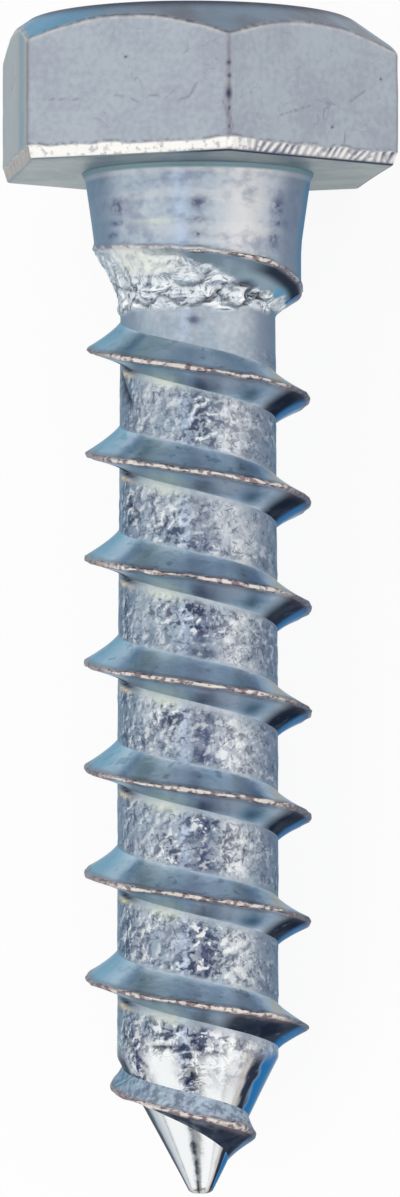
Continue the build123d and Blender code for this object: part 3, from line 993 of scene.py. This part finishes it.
def shankPlating(piece):
    # neck above the lip, torn run-out, core and point, each with its own layers of tint
    paint = newPlating(piece, "platedShankAndCore")
    neck = paint.mark("neck")
    torn = paint.mark("torn")
    point = paint.mark("point")
    flap = paint.mark("flap")
    roughPoint = paint.mark("roughPoint")
    fine = paint.noise(5.0, 2.0)
    fineSpots = paint.step(fine, 0.35, 0.65)
    speckle = paint.spots(2.9, 2.0, 0.44, 0.56, stretch=(1.0, 1.2, 1.0))
    smearShare = 0.35 + 0.55 * speckle

    # neck: faint rings and small dark blots where it was drawn
    blots = paint.noise(2.4, 3.0, stretch=(1.0, 1.4, 1.0)) * 0.5 + 0.5 * paint.noise(0.7, 1.0)
    rings = paint.spots(0.8, 1.0, 0.46, 0.62, stretch=(0.35, 2.6, 0.35))
    neckColour = paint.blend(fineSpots * 0.5, "neck", "coreCloud")
    neckColour = tintSides(paint, paint.blend(rings * 0.3, neckColour, "warm"), 1.0, 0.75)
    neckColour = paint.layers(
        neckColour,
        (paint.step(blots, 0.45, 0.68), 0.6, "neckDark"),
        ("paleRow", 0.6, "paleGreen"),
        ("smear", smearShare, "smear"),
        # painted shade under the head
        ("fillet", 1.0, "underTeal"),
        # painted highlight on the fillet
        ("filletLine", 0.4, "edgeHighlight"),
    )

    # point: bright, with painted reflections along it: a dark band and a blue rim on the right, a dark line
    # down the middle; painted shade on the left rim; brown lines
    pointColour = paint.layers(
        tintSides(paint, "point", 0.5, 0.0),
        ("brownLine", 0.5, "tipBrown"),
        ("darkReflectionBand", 1.0, "darkShade"),
        # painted blue reflection on the right rim
        ("blueRim", 1.0, "blueRim"),
        # painted shade on the point's left rim
        ("leftRim", 0.92, "darkShade"),
        # painted reflection of the gap between the lamps
        ("gapReflection", 0.35 + 0.6 * speckle, "tornDark"),
        ("tipLine", 0.6, "tipBrown"),
    )

    # core: clouded grey with short dark strokes, and specks of painted shade and painted highlight, between
    # the turns
    cloud = paint.spots(0.7, 2.0, 0.4, 0.6)
    rough = paint.mark("crackled").atLeast(roughPoint)
    facing = paint.slope(2.7, 2.0, 0.25)
    strokePatches = paint.spots(1.9, 1.0, 0.44, 0.56)
    strokes = paint.hairs(paint.noise(2.0, 1.0, distortion=0.3), 0.11, strokePatches)
    thinPatches = paint.spots(2.4, 1.0, 0.42, 0.54)
    thin = paint.hairs(paint.noise(3.4, 1.0, distortion=0.4), 0.1, thinPatches)
    soft = paint.spots(1.3, 2.0, 0.46, 0.62)
    coreColour = paint.layers(
        tintSides(paint, paint.blend(cloud, "core", "coreCloud"), 0.75, 0.2),
        (fineSpots, 0.3, "dim"),
        # more painted shade on the right side
        ("sideShade", 0.6, "dim"),
        ("paleBand", 0.75, "paleGreen"),
        # painted highlight at the root corner
        ("cornerHighlight", 0.95, "goldHighlight"),
        # painted shade in the root corner
        ("corner", 0.98, "darkShade"),
        ("smear", smearShare, "smear"),
        (point, 0.95, pointColour),
        (soft * rough, 0.55, "neckDark"),
        (paint.spots(1.7, 1.0, 0.5, 0.58) * roughPoint, 0.8, "smear"),
        # painted reflection, in the smear tint
        ("darkCentreReflection", 0.4 + 0.5 * speckle, "smear"),
        ("litLine", 0.4 - 0.25 * speckle, "coreHighlight"),
        (thin * paint.mark("bareCore"), 0.6, "coreDark"),
        (strokes * rough, 0.85, "coreDark"),
        # painted shade and painted highlight: a noise sloped towards the light
        (paint.step(0.0 - facing, 0.02, 0.09) * rough, 0.92, "coreDark"),
        (paint.step(facing, 0.04, 0.11) * rough, 0.85,
         paint.blend(paint.mark("coolHighlight") * 0.8, "coreHighlight", "cool")),
    )

    # torn run-out: folded metal with painted shade in the creases and painted highlights on the folds, a
    # smooth wedge under the lip with painted shade and a painted blue reflection
    crumpled = paint.mark("crumpled")
    folded = paint.slope(1.5, 3.0, 0.7) * (1.0 - 0.8 * flap)
    tornColour = paint.layers(
        paint.blend(paint.spots(2.6, 2.0, 0.46, 0.62) * 0.3, "torn", "neckDark"),
        # painted shade in the folds and painted highlight on them
        (paint.step(0.0 - folded, 0.02, 0.07), 0.2 + 0.45 * crumpled, "tornDark"),
        (paint.step(folded, 0.02, 0.07), 0.4 + 0.5 * crumpled, "coreHighlight"),
    )
    # painted shade and a painted blue reflection on the wedge
    wedgeColour = paint.layers("wedge", ("wedgeDark", 0.94, "darkShade"), ("wedgeBlue", 0.8, "wedgeBlue"))
    flapGrain = paint.spots(3.4, 3.0, 0.46, 0.62)
    lipDots = paint.spots(2.8, 2.0, 0.4, 0.6)
    colour = paint.layers(
        paint.blend(neck, coreColour, neckColour),
        (torn, 1.0, tornColour),
        ("wedge", 1.0, wedgeColour),
        (flap, 0.8, paint.blend(flapGrain * 0.75, "flap", "flapDark")),
        ("lipLine", 0.8, paint.blend(lipDots, "crestBrown", "crest")),
        # painted shade in the gouges and creases
        ("gouge", 0.9 - 0.15 * torn, "tornDark"),
    )

    roughness = 0.36 - 0.22 * point - 0.06 * torn + 0.06 * neck
    height = (0.3 * fine + rough * facing * 3.0) * (1.0 - 0.7 * point) + torn * folded * 5.0
    # the darkest marks, painted shade and dark painted reflections, are no metal, so they mirror nothing
    shadeNotMetal = paint.mark("darkReflectionBand").atLeast(paint.mark("leftRim") * 0.8) * point
    shadeNotMetal = shadeNotMetal.atLeast(paint.mark("wedge") * paint.mark("wedgeDark")).atLeast(paint.mark("corner"))
    shadeNotMetal = shadeNotMetal.atLeast(paint.mark("gouge") * (0.7 - 0.45 * torn)) * (1.0 - paint.mark("lipLine"))
    paint.metal(colour, roughness, paint.bump(height, 0.055, 0.9), tint["grazing"], 1.0 - 0.97 * shadeNotMetal)


def threadPlating(piece):
    # upper and lower flank, each with its own layers of tint, then last turn and crest
    paint = newPlating(piece, "platedThreadFlanks")
    crest = paint.mark("crest")
    pointSide = paint.mark("pointSide")
    tipShade = paint.mark("tipShade")
    notBlue = 1.0 - paint.mark("tipBlue")
    cloud = paint.spots(0.9, 2.0, 0.36, 0.64)
    grain = paint.noise(3.0, 3.0)
    flecks = paint.spots(4.6, 2.0, 0.38, 0.56)
    flank = paint.blend(cloud, "flank", "flankDeep")
    upper = paint.layers(
        flank,
        ("flankShade", 0.8, "flankShade"),
        (paint.spots(1.9, 2.0, 0.6, 0.7), 0.5, "lozenge"),
        ("flankGreen", 0.5, "flankGreen"),
        ("tealTip", 0.8, "flankTeal"),
        ("tanTip", 0.7, "tan"),
    )
    # painted shade on the lower flank's right side
    darkShade = paint.mark("darkShade") * (0.95 + 0.04 * cloud)
    lower = paint.layers(
        flank,
        ("midLight", 0.8, "midLight"),
        ("rootBlend", 1.0, paint.blend(cloud, "core", "coreCloud")),
        ("pale", 0.8, "paleGreen"),
        # painted shade in the root corner
        ("rootCorner", 0.98, "darkShade"),
        ("lozenge", 0.85, "lozenge"),
        # painted reflection, in the smear tint
        ("navySpot", 0.3 + 0.4 * cloud, "smear"),
        ("firstTurn", 0.8, "flankDeep"),
        (darkShade, 1.0, "darkShade"),
        # painted blue reflection on the right rim
        ("tipBlue", 1.0, "blueRim"),
    )

    last = paint.mark("lastTurn")
    lastCloud = paint.spots(2.4, 2.0, 0.3, 0.66)
    # painted shade on the last turn's lower flank
    lastLower = last * pointSide * notBlue * (0.72 + 0.26 * lastCloud)
    facing = paint.slope(3.4, 2.0) * (1.0 - pointSide)
    # bright flecks on the crest, partly wear and partly painted highlight, fewer on the sides
    crestShine = flecks * (1.0 - 0.65 * paint.mark("crestSideFade"))
    crestColour = paint.layers(
        paint.blend(crestShine, "crestBrown", "crest"),
        (tipShade, 0.5, "coreDark"),
    )
    colour = paint.layers(
        paint.blend(pointSide, upper, lower),
        (paint.step(grain, 0.58, 0.7), 0.25, "neckDark"),
        (last, 0.35 + 0.4 * lastCloud, "dim"),
        (lastLower, 0.95, "darkShade"),
        # painted shade and painted highlight on the last turn
        (last * paint.step(0.0 - facing, 0.02, 0.08), 0.4, "coreDark"),
        (last * paint.step(facing, 0.04, 0.1), 0.3, "midLight"),
        ("crestOutline", 0.5, paint.blend(tipShade * 0.8, "crestBrown", "darkShade")),
        (paint.step(crest, 0.3, 0.8), 1.0, crestColour),
    )

    roughness = 0.30 + 0.12 * grain
    height = grain + 0.4 * paint.noise(0.9, 2.0) + 0.8 * crest * flecks
    # the darkest painted shade is no metal, so it mirrors nothing
    shadeNotMetal = (darkShade * pointSide).atLeast(lastLower) * notBlue
    shadeNotMetal = shadeNotMetal.atLeast(paint.mark("rootCorner")) * (1.0 - crest)
    paint.metal(colour, roughness, paint.bump(height, 0.03, 0.7), tint["grazing"], 1.0 - 0.97 * shadeNotMetal)


headPlating(makeHead())
shankPlating(makeShank())
threadPlating(makeThread())
print("pieces and plating made")


studio = {
    "worldLight": 0.40,
    "floorSize": 3.0,
    "floorTone": 0.9,
    "seenWhite": 0.90,      # how far the floor is plain white to the camera
    "seenInMetal": 0.5,     # and to reflections
    "aimHeight": 0.004,     # the lamps aim this far above the table
    "boxes": (
        # tilt from straight up in degrees, distance, size across and along, strength
        {"name": "softBoxLeft", "tilt": -39.0, "away": 0.55, "wide": 1.20, "long": 2.2, "strength": 0.68},
        {"name": "softBoxRight", "tilt": 51.5, "away": 0.55, "wide": 0.80, "long": 2.2, "strength": 0.72},
    ),
}

view = {
    "tip": 2.58,            # degrees the eye is tipped towards the point
    "awayMm": 211.05,
    "aimRight": 0.0735,     # mm from the axis, and along it, to where the eye looks
    "aimAlong": 14.62,
    "lens": 184.7,
    "sensor": 36.0,
    "nearest": 0.01,
}


def makeFloor():
    # a square of floorSize: a pale diffuse surface mixed with plain white by the kind of ray
    half = studio["floorSize"] / 2.0
    corners = [(-half, -half, 0.0), (half, -half, 0.0), (half, half, 0.0), (-half, half, 0.0)]
    mesh = bpy.data.meshes.new("studioFloor")
    mesh.from_pydata(corners, [], [(0, 1, 2, 3)])
    floor = addObject("studioFloor", mesh)
    material = bpy.data.materials.new("paleFloor")
    mesh.materials.append(material)
    paint = Paint(material)
    rays = paint.node("LightPath")
    fromCamera, glossy, transmitted = rays[0], rays[3], rays[6]
    seen = fromCamera * studio["seenWhite"]
    seen = seen.atLeast(glossy * studio["seenInMetal"]).atLeast(transmitted * studio["seenInMetal"])
    tone = studio["floorTone"]
    lit = paint.node("BsdfDiffuse", None, {"Color": (tone, tone, tone, 1.0)})[0]
    white = paint.node("Emission", None, {"Color": (1.0, 1.0, 1.0, 1.0), "Strength": 1.0})[0]
    both = paint.node("MixShader", None, {0: seen, 1: lit, 2: white})[0]
    paint.node("OutputMaterial", None, {"Surface": both})


def makeWorld():
    world = bpy.data.worlds.new("paleStudio")
    bpy.context.scene.world = world
    paint = Paint(world)
    fromCamera = paint.node("LightPath")[0]
    strength = studio["worldLight"] + (1.0 - studio["worldLight"]) * fromCamera
    light = paint.node("Background", None, {"Color": (1.0, 1.0, 1.0, 1.0), "Strength": strength})[0]
    paint.node("OutputWorld", None, {"Surface": light})


def makeSoftBoxes():
    aim = Vector((0.0, 0.0, studio["aimHeight"]))
    for box in studio["boxes"]:
        lamp = bpy.data.lights.new(box["name"], "AREA")
        lamp.shape = "RECTANGLE"
        lamp.size = box["wide"]
        lamp.size_y = box["long"]
        lamp.energy = box["strength"] * math.pi * box["wide"] * box["long"]
        tilt = math.radians(box["tilt"])
        spot = addObject(box["name"], lamp)
        spot.location = aim + Vector((math.sin(tilt), 0.0, math.cos(tilt))) * box["away"]
        spot.rotation_euler = (0.0, tilt, 0.0)
        spot.visible_camera = False


def makeCamera():
    # looks at a point beside the axis from above its turnedTo side, tipped towards the point
    side = math.radians(lie["turnedTo"])
    tip = math.radians(view["tip"])
    away = view["awayMm"]
    target = (view["aimRight"] * math.cos(side), -view["aimRight"] * math.sin(side), view["aimAlong"])
    eye = (
        target[0] + away * math.cos(tip) * math.sin(side),
        target[1] + away * math.cos(tip) * math.cos(side),
        target[2] + away * math.sin(tip),
    )
    targetAt = Vector(layDown(*target))
    eyeAt = Vector(layDown(*eye))
    headward = Vector(layDown(0.0, 0.0, -1.0)) - Vector(layDown(0.0, 0.0, 0.0))
    back = (eyeAt - targetAt).normalized()
    right = headward.cross(back).normalized()
    data = bpy.data.cameras.new("camera")
    data.sensor_width = view["sensor"]
    data.lens = view["lens"]
    data.clip_start = view["nearest"]
    camera = addObject("camera", data)
    turn = camera.matrix_world.copy().to_3x3()
    turn.col[0] = right
    turn.col[1] = back.cross(right)
    turn.col[2] = back
    camera.rotation_euler = turn.to_euler()
    camera.location = eyeAt
    bpy.context.scene.camera = camera


makeFloor()
makeWorld()
makeSoftBoxes()
makeCamera()
bpy.context.scene.view_settings.view_transform = "Standard"
print("studio ready")
